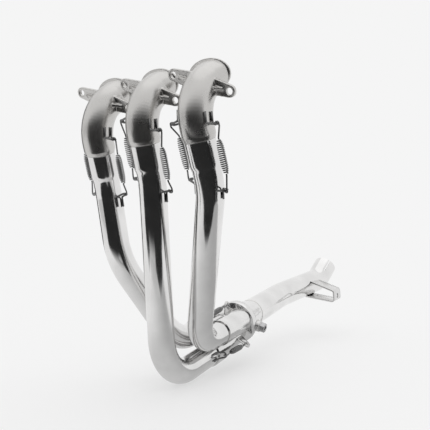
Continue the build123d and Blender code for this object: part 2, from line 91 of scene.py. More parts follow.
LOWER_TURN = {"left_inner": -95.0, "left_outer": 88.0, "centre_inner": -95.0,
              "centre_outer": 84.0, "right_inner": -98.0, "right_outer": 68.0}
COIL_TOP = {"left_inner": 2.5, "left_outer": 0.0, "centre_inner": -11.0,
            "centre_outer": 5.0, "right_inner": -7.0, "right_outer": 1.0}
COIL_TURN = {"left_inner": -95.0, "left_outer": 90.0, "centre_inner": -92.0,
             "centre_outer": 80.0, "right_inner": -94.0, "right_outer": 80.0}
COIL_RADIUS, COIL_LENGTH, COIL_OD = 32.0, 44.0, 9.4
SWIVEL_WIRE, SWIVEL_GAP, SWIVEL_SHANK = 2.2, 0.3, 2.0
TIP_STATION, TAB_STATION = -2.0, 75.0
TIP_RADIUS = {"lower": 35.5, "upper": 31.5}
TAB_RADIUS = {"lower": 43.0, "upper": 39.0}
TAB_THICKNESS, TAB_HOLE, TAB_EDGE = 2.5, 6.0, 4.5
LOWER_GROOVE, UPPER_GROOVE = -39.0, 90.0

# Finer sizes that only the scene has, in millimetres
RIM_EDGE, PIPE_EDGE, OUTLET_EDGE = 0.25, 0.2, 0.35
MOUTH_EDGE, MOUTH_INNER_EDGE = 0.4, 0.3
COLLAR_EDGE, COLLAR_EASE = 0.8, 0.3
MERGE_BORE, MERGE_PLATE = 16.0, 6.0
BUNG_SINK, BUNG_EDGE, WASHER_EDGE, RECESS_EDGE = 2.5, 0.8, 0.3, 0.4
STRAP_EDGE, TAB_ROUND = 0.5, 0.35
CASTING_VOXEL, CASTING_PASSES = 0.75, 5
COIL_WIRE, COIL_TURNS, COIL_END_OD, COIL_SWELL = 1.7, 16, 6.0, 4
HOOK_BEND, SWIVEL_BEND, TAB_SWIVEL_BEND = 2.6, 2.0, 1.6
# Weld beads: radius and number of ripples, then how far each is sunk or set off
MERGE_WELD, NECK_WELD, BUNG_WELD, LEG_WELD = (1.1, 46), (0.95, 60), (1.0, 26), (1.0, 8)
MERGE_WELD_SINK, MERGE_WELD_BACK, NECK_WELD_SINK = 0.3, 0.4, 0.35
BUNG_WELD_LIFT, BUNG_WELD_OUT, LEG_WELD_SINK = 0.6, 0.2, 0.5
RIPPLE, LEG_RIPPLE = 0.12, 0.14
LEG_WELD_START, LEG_WELD_SHARE, LEG_WELD_STEPS = 0.06, 0.72, 24
# Shares of the swage's length and of its change of radius
SWAGE_BLEND = ((0.0, 0.0), (0.12, 0.03), (0.3, 0.18), (0.5, 0.5),
               (0.7, 0.82), (0.88, 0.97), (1.0, 1.0))
# Offsets along the cone and out of its surface, at its root and at its neck
CONE_ROOT = ((0.0, 0.5), (0.8, 0.0), (2.0, -0.4))
NECK_BLEND = ((-3.0, 0.75), (-1.0, 0.25), (1.0, 0.0))
# Depths below the plug's top, and the turned radius there as a share of half the hexagon
HEX_CHAMFER = ((1.1, 1.2), (0.45, 1.06), (0.0, 0.94))
# Point of the stop hole's circle between the slit and the half round
HOLE_SHOULDER = (1.0, 2.29)

# How finely the meshes are cut
SEGS = {"tube": 112, "socket": 96, "collar": 128, "link": 128, "bung": 72, "plug": 96,
        "hook": 14, "swivel": 12, "coil": 10, "bead": 10, "leg_bead": 8}
ARC_STEP, WIRE_STEP, LINE_STEP = 1.6, 9.0, 12.0
TURN_STEPS, RIPPLE_STEPS, HOLE_STEPS, SPINE_STEPS = 22, 6, 16, 400
SHARP, WIRE_SHARP, PLUG_SHARP = 35.0, 60.0, 28.0
NEAR_PARALLEL = 0.9

SIDES = {"left": -1, "centre": 0, "right": 1}
X_AXIS = np.array([1.0, 0.0, 0.0])


def vec(*v):
    """A vector of floats."""
    return np.array(v, float)


Z_AXIS = vec(0, 0, 1)


def unit(v):
    """The direction of a vector."""
    return v / np.linalg.norm(v)


def heading(yaw, climb):
    """Direction turned from +Y towards +X, then raised."""
    level = cos(radians(climb))
    return vec(sin(radians(yaw)) * level, cos(radians(yaw)) * level, sin(radians(climb)))


def across(axis, hint):
    """The part of a hint that is square to an axis, as a direction."""
    return unit(hint - axis * np.dot(hint, axis))


def turned(axis, turn):
    """Direction square to an axis, turned round it towards +X."""
    side = across(axis, X_AXIS)
    return np.cross(axis, side) * cos(radians(turn)) + side * sin(radians(turn))


# Places and directions, worked out as in the solids
LEFT_KINK = vec(-84.6, 33.5, -228.8)
MOUTH_CENTRE = vec(-34.5, 191.2, -363.5)
PORT_AXIS = heading(0, PORT_TILT)
JOINT_AXES = {n: unit(vec(tan(radians(JOINT_LEAN_X[n])), tan(radians(JOINT_LEAN_Y[n])), -1))
              for n in SIDES}
SOCKET_ID = SOCKET_OD - 2 * TUBE_WALL
TUBE_ID = TUBE_OD - 2 * TUBE_WALL
FLOW = heading(-COLLECTOR_YAW, COLLECTOR_CLIMB)
FLOW_SIDE = across(FLOW, vec(FLOW[1], -FLOW[0], 0))
FLOW_UP = np.cross(FLOW_SIDE, FLOW)
MOUTH_ID = TUBE_OD + SLIP_FIT
MOUTH_OD = MOUTH_ID + 2 * MOUTH_WALL
MOUTH_OFFSET = MOUTH_SPACING / sqrt(3)
COLLAR_END = COLLAR_START + COLLAR_WIDTH
NECK_END = CONE_END + CONE_NECK
MERGE_SHRINK = (CONE_OD - MOUTH_OD) / 2 / MOUTH_OFFSET
MERGE_DRIFT = (MERGE_SHRINK - 1) / (COLLAR_START - MOUTH_STRAIGHT)


def flow_out(bearing):
    """Direction out of the collector's axis at a bearing."""
    return FLOW_SIDE * cos(radians(bearing)) + FLOW_UP * sin(radians(bearing))


def flow_point(station, radius=0.0, bearing=0.0):
    """Place by its station on the collector's axis, and out from it."""
    return MOUTH_CENTRE + FLOW * station + flow_out(bearing) * radius


RIMS = {n: X_AXIS * PORT_PITCH * k + PORT_AXIS * LUG_SETBACK for n, k in SIDES.items()}
CORNERS = {n: RIMS[n] - PORT_AXIS * ELBOW_REACH for n in SIDES}
JOINTS = {n: CORNERS[n] + JOINT_AXES[n] * JOINT_DROP[n] for n in SIDES}
MOUTHS = {n: flow_point(0, MOUTH_OFFSET, MOUTH_BEARING[n]) for n in SIDES}
COURSES, BENDS = {}, {}
for n in SIDES:
    kinks = [LEFT_KINK] if n == "left" else []
    COURSES[n] = [JOINTS[n], JOINTS[n] + JOINT_AXES[n] * FIRST_RUN[n], *kinks,
                  MOUTHS[n] - FLOW * LAST_RUN[n], MOUTHS[n] + FLOW * INSERTION]
    BENDS[n] = [UPPER_BEND[n], *[KINK_BEND] * len(kinks), LOWER_BEND[n]]


def corner(before, here, after):
    """Directions into and out of a corner, and the angle between them."""
    a, b = unit(here - before), unit(after - here)
    return a, b, acos(max(-1.0, min(1.0, float(np.dot(a, b)))))


class Course:
    """Straight runs joined by tangent arcs, read by the distance along them."""

    def __init__(self, points, radii):
        self.pieces, self.stops = [], [0.0]
        here = points[0]
        for i, radius in enumerate(radii, 1):
            a, b, angle = corner(points[i - 1], points[i], points[i + 1])
            cut = radius * tan(angle / 2)
            start = points[i] - a * cut
            self._add(("line", here, a, None, 0.0), float(np.linalg.norm(start - here)))
            inward = unit(b - a * np.dot(a, b))
            self._add(("arc", start, a, inward, radius), radius * angle)
            here = points[i] + b * cut
        end = unit(points[-1] - points[-2])
        self._add(("line", here, end, None, 0.0), float(np.linalg.norm(points[-1] - here)))
        self.length = self.stops[-1]

    def _add(self, piece, length):
        self.pieces.append(piece)
        self.stops.append(self.stops[-1] + length)

    def at(self, s):
        """Place and direction at a distance along the course."""
        s = min(max(s, 0.0), self.length)
        i = 0
        while i < len(self.pieces) - 1 and s > self.stops[i + 1] + 1e-9:
            i += 1
        kind, start, a, inward, radius = self.pieces[i]
        d = s - self.stops[i]
        if kind == "line":
            return start + a * d, a
        t = d / radius
        return (start + a * (radius * sin(t)) + inward * (radius * (1 - cos(t))),
                a * cos(t) + inward * sin(t))

    def stations(self, low, high, fine=ARC_STEP):
        """Stations between two distances, close together on the arcs."""
        marks = set()
        for i, (kind, start, a, inward, radius) in enumerate(self.pieces):
            length = self.stops[i + 1] - self.stops[i]
            if kind == "arc":
                count = max(4, int(degrees(length / radius) / fine))
            else:
                count = max(1, int(length / LINE_STEP))
            places = np.linspace(self.stops[i], self.stops[i + 1], count + 1)
            marks.update(round(float(m), 6) for m in places)
        return [m for m in sorted(marks) if low + 1e-4 < m < high - 1e-4]


# Tools that make the meshes
def show(name, data):
    """A new object in the scene."""
    obj = bpy.data.objects.new(name, data)
    bpy.context.scene.collection.objects.link(obj)
    return obj


def add_object(name, verts, faces, sharp=SHARP):
    """A smooth object from points in millimetres, with its hard edges kept."""
    mesh = bpy.data.meshes.new(name)
    mesh.from_pydata([tuple(v * MM) for v in verts], [], faces)
    mesh.validate()
    mesh.update()
    mesh.shade_smooth()
    mesh.set_sharp_from_angle(angle=radians(sharp))
    return show(name, mesh)


def settled(obj):
    """The object again, with what its modifiers make as its mesh."""
    name = obj.name
    graph = bpy.context.evaluated_depsgraph_get()
    mesh = bpy.data.meshes.new_from_object(obj.evaluated_get(graph))
    bpy.data.objects.remove(obj)
    mesh.shade_smooth()
    return show(name, mesh)


def circle(centre, u, w, radius, segs):
    """Points round a centre in the plane of two directions."""
    turns = [2 * pi * k / segs for k in range(segs)]
    return [centre + (u * cos(q) + w * sin(q)) * radius for q in turns]


def bands(rows, segs, closed=False):
    """Faces between rings of points, joined last to first or else capped at both ends."""
    faces = []
    for i in range(rows if closed else rows - 1):
        j = (i + 1) % rows
        for k in range(segs):
            m = (k + 1) % segs
            faces.append((i * segs + k, i * segs + m, j * segs + m, j * segs + k))
    if not closed:
        faces.append(tuple(reversed(range(segs))))
        faces.append(tuple(range((rows - 1) * segs, rows * segs)))
    return faces


def transport(tangents):
    """Frames that turn as little as possible along a line of tangents."""
    u = across(tangents[0], Z_AXIS if abs(tangents[0][2]) < NEAR_PARALLEL else X_AXIS)
    frames = [u]
    for t in tangents[1:]:
        u = across(t, u)
        frames.append(u)
    return frames


def swept(name, course, outline, segs):
    """A closed outline of (distance, radius) pairs turned round a course."""
    rings = []
    for (s0, r0), (s1, r1) in zip(outline, outline[1:] + outline[:1]):
        rings.append((s0, r0))
        if abs(s1 - s0) > 1e-6:
            marks = course.stations(min(s0, s1), max(s0, s1))
            for m in (marks if s1 > s0 else marks[::-1]):
                rings.append((m, r0 + (r1 - r0) * (m - s0) / (s1 - s0)))
    keys = sorted(set(round(s, 6) for s, r in rings))
    points = [course.at(k) for k in keys]
    places = dict(zip(keys, points))
    frames = dict(zip(keys, transport([t for p, t in points])))
    verts = []
    for s, r in rings:
        p, t = places[round(s, 6)]
        u = frames[round(s, 6)]
        verts += circle(p, u, np.cross(t, u), r, segs)
    return add_object(name, verts, bands(len(rings), segs, closed=True))


def rod(name, points, radius, segs):
    """Round wire through close points with eased ends; radius(f) is taken at each share f."""
    last = len(points) - 1
    tangents = [unit(points[min(i + 1, last)] - points[max(i - 1, 0)]) for i in range(last + 1)]
    radii = [radius(i / last) for i in range(last + 1)]
    rows = list(zip(points, tangents, transport(tangents), radii))
    ends = []
    for way, (p, t, u, r) in ((-1, rows[0]), (1, rows[-1])):
        ends.append((p + t * r * 0.25 * way, t, u, r * 0.7))
    rows = [ends[0], *rows, ends[1]]
    verts = []
    for p, t, u, r in rows:
        verts += circle(p, u, np.cross(t, u), r, segs)
    return add_object(name, verts, bands(len(rows), segs), WIRE_SHARP)


def wire(name, points, thickness, segs):
    """Round wire of one thickness."""
    return rod(name, points, lambda f: thickness / 2, segs)


def bent(points, radius):
    """Close points of a wire bent round the corners of a polyline."""
    radii = []
    for before, here, after in zip(points, points[1:], points[2:]):
        angle = corner(before, here, after)[2]
        room = 0.48 * min(np.linalg.norm(here - before), np.linalg.norm(after - here))
        radii.append(min(radius, room / max(tan(angle / 2), 1e-3)))
    course = Course(points, radii)
    inner = course.stations(0, course.length, WIRE_STEP)
    marks = sorted(set([0.0, course.length] + [round(m, 5) for m in inner]))
    return [course.at(m)[0] for m in marks]


def rippled(size, share, count):
    """Radius of a weld bead that swells and shrinks along its length."""
    return lambda f: size * (1 - share + share * cos(2 * pi * f * count))


def put(obj, material, *nodes):
    """Give a piece its material, ride the part and stand in for its solids."""
    obj.data.materials.clear()
    obj.data.materials.append(material)
    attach(obj, "root")
    if nodes:
        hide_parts(*nodes)
    return obj


def join(name, objects):
    """One object from several."""
    bm = bmesh.new()
    for o in objects:
        bm.from_mesh(o.data)
    mesh = bpy.data.meshes.new(name)
    bm.to_mesh(mesh)
    bm.free()
    for o in objects:
        bpy.data.objects.remove(o)
    return show(name, mesh)


# Materials
CLOUD_SCALE, CLOUD_DETAIL, GRAIN_DETAIL = 26.0, 5.0, 3.0
CLOUD_LOW, CLOUD_HIGH, TINT = 0.3, 0.7, 0.08


def metal(name, colour, low, high, grain, bump, depth):
    """Bare metal whose sheen and colour wander a little and whose skin has a fine grain."""
    m = bpy.data.materials.new(name)
    m.use_nodes = True
    nodes, links = m.node_tree.nodes, m.node_tree.links
    shader = nodes["Principled BSDF"]
    shader.inputs["Metallic"].default_value = 1.0
    place = nodes.new("ShaderNodeTexCoord").outputs["Object"]
    cloud = nodes.new("ShaderNodeTexNoise")
    cloud.inputs["Scale"].default_value = CLOUD_SCALE
    cloud.inputs["Detail"].default_value = CLOUD_DETAIL
    links.new(place, cloud.inputs["Vector"])
    sheen = nodes.new("ShaderNodeMapRange")
    sheen.inputs["From Min"].default_value = CLOUD_LOW
    sheen.inputs["From Max"].default_value = CLOUD_HIGH
    sheen.inputs["To Min"].default_value = low
    sheen.inputs["To Max"].default_value = high
    links.new(cloud.outputs["Fac"], sheen.inputs["Value"])
    links.new(sheen.outputs["Result"], shader.inputs["Roughness"])
    ramp = nodes.new("ShaderNodeValToRGB")
    dull, bright = ramp.color_ramp.elements
    dull.position, bright.position = CLOUD_LOW, CLOUD_HIGH
    dull.color = (*[c * (1 - TINT) for c in colour], 1)
    bright.color = (*[min(1.0, c * (1 + TINT * 0.5)) for c in colour], 1)
    links.new(cloud.outputs["Fac"], ramp.inputs["Fac"])
    links.new(ramp.outputs["Color"], shader.inputs["Base Color"])
    fine = nodes.new("ShaderNodeTexNoise")
    fine.inputs["Scale"].default_value = grain
    fine.inputs["Detail"].default_value = GRAIN_DETAIL
    links.new(place, fine.inputs["Vector"])
    dents = nodes.new("ShaderNodeBump")
    dents.inputs["Strength"].default_value = bump
    dents.inputs["Distance"].default_value = depth
    links.new(fine.outputs["Fac"], dents.inputs["Height"])
    links.new(dents.outputs["Normal"], shader.inputs["Normal"])
    return m


# Name, colour, roughness from and to, then the grain's scale, strength and depth
POLISHED = metal("polished_tube", (0.80, 0.795, 0.79),
                 0.11, 0.18, 140.0, 0.03, 0.0004)
COLLECTOR = metal("polished_collector", (0.80, 0.795, 0.79),
                  0.12, 0.22, 160.0, 0.05, 0.0004)
LINK = metal("polished_link", (0.82, 0.815, 0.81),
             0.10, 0.18, 140.0, 0.03, 0.0004)
# Painted shade: the pipe's bore and slit walls are coloured near black for the shade inside the
# pipe
INSIDE_SHADE = metal("pipe_inside_painted_shade", (0.10, 0.098, 0.095),
               0.4, 0.55, 400.0, 0.06, 0.0003)
CASTING = metal("blasted_casting", (0.61, 0.60, 0.585),
                0.25, 0.33, 1500.0, 0.14, 0.0003)
PLATE = metal("polished_plate", (0.74, 0.735, 0.73),
              0.14, 0.24, 400.0, 0.05, 0.0003)
TAB = metal("tab_plate", (0.72, 0.715, 0.71),
            0.16, 0.26, 400.0, 0.05, 0.0003)
TURNED = metal("turned_bung", (0.66, 0.655, 0.65),
               0.18, 0.28, 700.0, 0.06, 0.0002)
PLUG = metal("turned_plug", (0.50, 0.50, 0.505),
             0.2, 0.3, 700.0, 0.06, 0.0002)
WASHER = metal("flat_washer", (0.58, 0.575, 0.57),
               0.22, 0.32, 700.0, 0.06, 0.0002)
# Painted shade: the hook wire and its leg welds are coloured near black to stand for the shadow
# and dark reflection they sit in
SHADED_HOOK = metal("hook_wire", (0.20, 0.20, 0.20),
             0.2, 0.32, 900.0, 0.08, 0.0002)
SWIVEL = metal("swivel_wire", (0.26, 0.26, 0.26),
               0.2, 0.32, 900.0, 0.08, 0.0002)
COIL = metal("spring_wire", (0.30, 0.30, 0.30),
             0.24, 0.36, 900.0, 0.08, 0.0002)
BEAD = metal("weld_bead", (0.66, 0.65, 0.63),
             0.2, 0.34, 500.0, 0.1, 0.0003)

# Header tubes
so, si, to, ti = SOCKET_OD / 2, SOCKET_ID / 2, TUBE_OD / 2, TUBE_ID / 2
for n in SIDES:
    course = Course(COURSES[n], BENDS[n])
    end = course.length
    outline = [(0.0, si + RIM_EDGE), (0.0, so - RIM_EDGE), (RIM_EDGE, so)]
    outline += [(SOCKET_LENGTH + SWAGE_LENGTH * a, so + (to - so) * b) for a, b in SWAGE_BLEND]
    outline += [(end - PIPE_EDGE, to), (end, to - PIPE_EDGE), (end, ti)]
    outline += [(SOCKET_LENGTH + SWAGE_LENGTH * a, si + (ti - si) * b)
                for a, b in reversed(SWAGE_BLEND)]
    outline += [(RIM_EDGE, si)]
    put(swept(f"header_tube_{n}", course, outline, SEGS["tube"]), POLISHED, f"tube_{n}")

# Cast stubs, softened as a blasted casting is
for n in SIDES:
    stub = show(f"cast_stub_{n}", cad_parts[f"stub_{n}"].data.copy())
    remesh = stub.modifiers.new("remesh", "REMESH")
    remesh.mode = "VOXEL"
    remesh.voxel_size = CASTING_VOXEL * MM
    smooth = stub.modifiers.new("smooth", "SMOOTH")
    smooth.factor = 0.5
    smooth.iterations = CASTING_PASSES
    put(settled(stub), CASTING, f"stub_{n}")

# Collector: sockets, collar, cone and neck
pieces = []
mo, mi = MOUTH_OD / 2, MOUTH_ID / 2
for n in SIDES:
    shrink = 1 + MERGE_DRIFT * (COLLAR_END - MOUTH_STRAIGHT)
    merge = flow_point(COLLAR_END, MOUTH_OFFSET * shrink, MOUTH_BEARING[n])
    course = Course([MOUTHS[n], MOUTHS[n] + FLOW * MOUTH_STRAIGHT, merge], [MERGE_BEND])
    outline = [(0.0, mi + MOUTH_INNER_EDGE), (0.0, mo - MOUTH_EDGE), (MOUTH_EDGE, mo),
               (course.length, mo), (course.length, mi), (MOUTH_INNER_EDGE, mi)]
    pieces.append(swept(f"runner_{n}", course, outline, SEGS["socket"]))
co, cone, neck = COLLAR_OD / 2, CONE_OD / 2, LINK_OD / 2
plate_end = COLLAR_START + MERGE_PLATE
outline = [(COLLAR_START, MERGE_BORE / 2), (COLLAR_START, co - COLLAR_EDGE),
           (COLLAR_START + COLLAR_EASE, co - COLLAR_EASE), (COLLAR_START + COLLAR_EDGE, co),
           (COLLAR_END - COLLAR_EDGE, co), (COLLAR_END - COLLAR_EASE, co - COLLAR_EASE),
           (COLLAR_END, co - COLLAR_EDGE)]
outline += [(COLLAR_END + s, cone + r) for s, r in CONE_ROOT]
outline += [(CONE_END + s, neck + r) for s, r in NECK_BLEND]
outline += [(NECK_END, neck), (NECK_END, neck - LINK_WALL), (CONE_END, neck - LINK_WALL),
            (COLLAR_END, cone - MOUTH_WALL), (plate_end, cone - MOUTH_WALL),
            (plate_end, MERGE_BORE / 2)]
axis_course = Course([MOUTH_CENTRE, flow_point(NECK_END)], [])
pieces.append(swept("collar", axis_course, outline, SEGS["collar"]))
collector = put(join("merge_collector", pieces), COLLECTOR, "collector")
collector.data.set_sharp_from_angle(angle=radians(SHARP))


def bead(name, centre, axis, radius, size, count):
    """Rippled weld bead round an axis."""
    steep = abs(np.dot(axis, FLOW_UP)) >= NEAR_PARALLEL
    u = across(axis, FLOW_SIDE if steep else FLOW_UP)
    w = np.cross(axis, u)
    steps = count * RIPPLE_STEPS
    points = []
    for i in range(steps + 1):
        q = radians(360.0 * i / steps)
        points.append(centre + (u * cos(q) + w * sin(q)) * radius)
    return put(rod(name, points, rippled(size, RIPPLE, count), SEGS["bead"]), BEAD)


for n in SIDES:
    ring = flow_point(COLLAR_START - MERGE_WELD_BACK, MOUTH_OFFSET * MERGE_SHRINK,
                      MOUTH_BEARING[n])
    lean = unit(FLOW + flow_out(MOUTH_BEARING[n]) * MERGE_DRIFT * MOUTH_OFFSET)
    bead(f"merge_weld_{n}", ring, lean, mo - MERGE_WELD_SINK, *MERGE_WELD)
bead("neck_weld", flow_point(NECK_END), FLOW, neck - NECK_WELD_SINK, *NECK_WELD)

# Sensor bung, washer and plug
BUNG_OUT = flow_out(BUNG_ANGLE)
BUNG_SEAT = cone + (neck - cone) * (BUNG_STATION - COLLAR_END) / (CONE_END - COLLAR_END)
bung_top = flow_point(BUNG_STATION, BUNG_SEAT + BUNG_HEIGHT, BUNG_ANGLE)
tall = BUNG_HEIGHT + BUNG_SINK
bore, br, wr = (PLUG_THREAD + PLUG_FIT) / 2, BUNG_OD / 2, WASHER_OD / 2
outline = [(0.0, bore), (0.0, br), (tall - BUNG_EDGE, br), (tall, br - BUNG_EDGE), (tall, bore)]
put(swept("weld_bung", Course([bung_top - BUNG_OUT * tall, bung_top], []), outline,
          SEGS["bung"]), TURNED, "sensor_bung")
bead("bung_weld", bung_top - BUNG_OUT * (BUNG_HEIGHT - BUNG_WELD_LIFT), BUNG_OUT,
     br + BUNG_WELD_OUT, *BUNG_WELD)
seat = bung_top + BUNG_OUT * WASHER_THICKNESS
outline = [(0.0, bore), (0.0, wr - WASHER_EDGE), (WASHER_EDGE, wr),
           (WASHER_THICKNESS - WASHER_EDGE, wr), (WASHER_THICKNESS, wr - WASHER_EDGE),
           (WASHER_THICKNESS, bore)]
put(swept("crush_washer", Course([bung_top, seat], []), outline, SEGS["bung"]),
    WASHER, "plug_washer")


def hex_plug(name, foot, axis):
    """Hexagon plug with a turned chamfer, a recess and a plain shank."""
    u = across(axis, FLOW)
    w = np.cross(axis, u)
    flat, shank, recess = HEX_ACROSS / 2, PLUG_THREAD / 2, PLUG_RECESS / 2
    rows = [(-PLUG_LENGTH, shank, False), (0.0, shank, False),
            (0.0, flat * HEX_CHAMFER[0][1], True)]
    rows += [(HEX_HEIGHT - drop, flat * share, True) for drop, share in HEX_CHAMFER]
    rows += [(HEX_HEIGHT, recess + RECESS_EDGE, False), (HEX_HEIGHT - RECESS_EDGE, recess, False),
             (HEX_HEIGHT - RECESS_DEPTH, recess, False)]
    segs = SEGS["plug"]
    verts = []
    for z, r, six in rows:
        for k in range(segs):
            q = 2 * pi * k / segs
            off = (q + pi / 6) % (pi / 3) - pi / 6
            here = min(r, flat / cos(off)) if six else r
            verts.append(foot + axis * z + (u * cos(q) + w * sin(q)) * here)
    return add_object(name, verts, bands(len(rows), segs), PLUG_SHARP)


put(hex_plug("hex_plug", seat, BUNG_OUT), PLUG, "bung_plug")

# Link pipe with its slit end
LINK_DIR, END_DIR = heading(LINK_YAW, LINK_CLIMB), heading(END_YAW, END_CLIMB)
knee = flow_point(KNEE_STATION)
crook = knee + LINK_DIR * LINK_RUN
outlet = crook + END_DIR * END_RUN
link_course = Course([flow_point(NECK_END), knee, crook, outlet], [LINK_BEND, END_BEND])
lo, li, end = LINK_OD / 2, LINK_OD / 2 - LINK_WALL, link_course.length
outline = [(0.0, li), (0.0, lo), (end - OUTLET_EDGE, lo), (end, lo - OUTLET_EDGE),
           (end, li + OUTLET_EDGE), (end - OUTLET_EDGE, li)]
link = swept("link_tube", link_course, outline, SEGS["link"])
end_side = across(END_DIR, vec(END_DIR[1], -END_DIR[0], 0))
end_up = np.cross(end_side, END_DIR)
slit_out = end_side * cos(radians(SLIT_ANGLE)) + end_up * sin(radians(SLIT_ANGLE))
slit_foot = outlet - END_DIR * SLIT_LENGTH
slit_side = np.cross(slit_out, END_DIR)
hole, half = SLIT_HOLE / 2, SLIT_WIDTH / 2
mouth = sqrt(hole ** 2 - half ** 2)
edge = [(2 * SLIT_LENGTH, half), (mouth, half), HOLE_SHOULDER]
turns = [pi / 2 + pi * k / HOLE_STEPS for k in range(HOLE_STEPS + 1)]
ring = edge + [(hole * cos(q), hole * sin(q)) for q in turns]
ring += [(a, -b) for a, b in reversed(edge)]
cutter = [slit_foot + END_DIR * a + slit_side * b + slit_out * depth
          for depth in (0.0, LINK_OD) for a, b in ring]
knife = add_object("slit_cutter", cutter, bands(2, len(ring)))
cut = link.modifiers.new("slit", "BOOLEAN")
cut.operation = "DIFFERENCE"
cut.solver = "EXACT"
cut.object = knife
link = settled(link)
bpy.data.objects.remove(knife)
link.data.set_sharp_from_angle(angle=radians(SHARP))
put(link, LINK, "link_pipe")
# The bore and the walls of the slit are dull and get a near black colour, painted shade for the
# inside of the pipe; the rim keeps the bright metal
RIM_SHARE, RIM_FACING = 0.3, 0.7
link.data.materials.append(INSIDE_SHADE)
spine = np.array([link_course.at(d)[0] for d in np.linspace(0.0, end, SPINE_STEPS)])
for face in link.data.polygons:
    away = np.linalg.norm(spine - np.array(face.center) / MM, axis=1).min()
    facing = np.dot(np.array(face.normal), END_DIR)
    if away < lo - RIM_SHARE * LINK_WALL and facing < RIM_FACING:
        face.material_index = 1


def eased(name, node, width, material):
    """A plate's solid with its edges broken."""
    bm = bmesh.new()
    bm.from_mesh(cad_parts[node].data)
    bmesh.ops.remove_doubles(bm, verts=bm.verts, dist=1e-6)
    bmesh.ops.dissolve_limit(bm, angle_limit=radians(1.0), verts=bm.verts, edges=bm.edges)
    mesh = bpy.data.meshes.new(name)
    bm.to_mesh(mesh)
    bm.free()
    plate = show(name, mesh)
    soft = plate.modifiers.new("ease", "BEVEL")
    soft.width = width * MM
    soft.segments = 2
    soft.limit_method = "ANGLE"
    soft.angle_limit = radians(40)
    plate = settled(plate)
    plate.data.set_sharp_from_angle(angle=radians(SHARP))
    return put(plate, material, node)


eased("strap_bracket", "link_bracket", STRAP_EDGE, PLATE)
eased("spring_tab_lower", "collector_tab_lower", TAB_ROUND, TAB)
eased("spring_tab_upper", "collector_tab_upper", TAB_ROUND, TAB)


# Hooks, springs and swivels
def hook_points(foot, along, out, seat_od):
    """Corners of a hook's wire: up one leg, across the tip and down the other leg."""
    side = np.cross(along, out)
    gauge, tip = HOOK_GAUGE / 2, HOOK_TIP / 2
    rest = sqrt((seat_od / 2 + HOOK_WIRE / 2 + SEAT_GAP) ** 2 - gauge ** 2)
    low = foot + out * rest
    high = foot + along * HOOK_RISE + out * (rest + HOOK_REACH)
    return [low - along * HOOK_LEG - side * gauge, low - side * gauge, high - side * tip,
            high + side * tip, low + side * gauge, low - along * HOOK_LEG + side * gauge]


def hook_frame(course, distance):
    """Foot of a hook that lies along a course, and the course's direction there."""
    centre, along = course.at(distance + HOOK_LEG / 2)
    return centre - along * (HOOK_LEG / 2), along


def swivel_points(start, tip, along, out):
    """Corners of a swivel's wire: out of the coil and round the tip of a hook."""
    clear = (HOOK_WIRE + SWIVEL_WIRE) / 2 + SWIVEL_GAP
    return [start, start + along * SWIVEL_SHANK, tip - along * clear + out * clear,
            tip + along * clear + out * clear, tip + along * clear - out * clear,
            tip - along * HOOK_WIRE / 2 - out * clear]


def helix(name, top, bottom, node):
    """Wound coil that swells from both ends to its full size."""
    axis = unit(bottom - top)
    u = across(axis, X_AXIS)
    w = np.cross(axis, u)
    steps = COIL_TURNS * TURN_STEPS
    points = []
    for i in range(steps + 1):
        f = i / steps
        swell = min(1.0, COIL_SWELL * min(f, 1 - f))
        wide = COIL_END_OD + (COIL_OD - COIL_END_OD) * sin(swell * pi / 2)
        r = wide / 2 - COIL_WIRE / 2
        q = 2 * pi * COIL_TURNS * f
        points.append(top + axis * (COIL_WIRE / 2 + (COIL_LENGTH - COIL_WIRE) * f)
                      + (u * cos(q) + w * sin(q)) * r)
    put(wire(name, points, COIL_WIRE, SEGS["coil"]), COIL, node)


def legs_welded(name, points, out):
    """Weld beads that tie the two legs of a hook down to what carries it."""
    size, count = LEG_WELD
    sink = out * (HOOK_WIRE / 2 + SEAT_GAP - LEG_WELD_SINK)
    made = []
    for k, (a, b) in enumerate(((points[0], points[1]), (points[5], points[4]))):
        shares = [LEG_WELD_START + LEG_WELD_SHARE * (i / LEG_WELD_STEPS)
                  for i in range(LEG_WELD_STEPS + 1)]
        line = [a + (b - a) * f - sink for f in shares]
        made.append(rod(f"{name}_{k}", line, rippled(size, LEG_RIPPLE, count), SEGS["leg_bead"]))
    return join(name, made)


def hook_piece(label, points, out, node):
    """A formed wire hook with its welds."""
    # The wire and its welds take the near black hook colour, which paints shade
    put(wire(label, bent(points, HOOK_BEND), HOOK_WIRE, SEGS["hook"]), SHADED_HOOK, node)
    put(legs_welded(f"{label}_weld", points, out), SHADED_HOOK)


def swivel_piece(label, points, radius, node):
    """A swivel end hook of a spring."""
    put(wire(label, bent(points, radius), SWIVEL_WIRE, SEGS["swivel"]), SWIVEL, node)


for label in COIL_TURN:
    n = label.split("_")[0]
    joint, drop = JOINTS[n], JOINT_AXES[n]
    stub_course = Course([joint, CORNERS[n], RIMS[n]], [ELBOW_RADIUS])
    foot, rise = hook_frame(stub_course, UPPER_HOOK[label])
    upper_out = turned(-rise, UPPER_TURN[label])
    upper = hook_points(foot, -rise, upper_out, STUB_OD)
    foot, fall = hook_frame(Course(COURSES[n], BENDS[n]), LOWER_HOOK[label])
    lower_out = turned(fall, LOWER_TURN[label])
    lower = hook_points(foot, -fall, lower_out, TUBE_OD)
    top = joint + drop * COIL_TOP[label] + turned(drop, COIL_TURN[label]) * COIL_RADIUS
    bottom = top + drop * COIL_LENGTH
    hook_piece(f"wire_hook_stub_{label}", upper, upper_out, f"stub_hook_{label}")
    hook_piece(f"wire_hook_tube_{label}", lower, lower_out, f"tube_hook_{label}")
    helix(f"coil_{label}", top, bottom, f"spring_{label}")
    for end, start, loop, way, out in (("upper", top, upper, -drop, upper_out),
                                       ("lower", bottom, lower, drop, lower_out)):
        points = swivel_points(start, (loop[2] + loop[3]) / 2, way, out)
        swivel_piece(f"wire_swivel_{end}_{label}", points, SWIVEL_BEND, f"swivel_{end}_{label}")

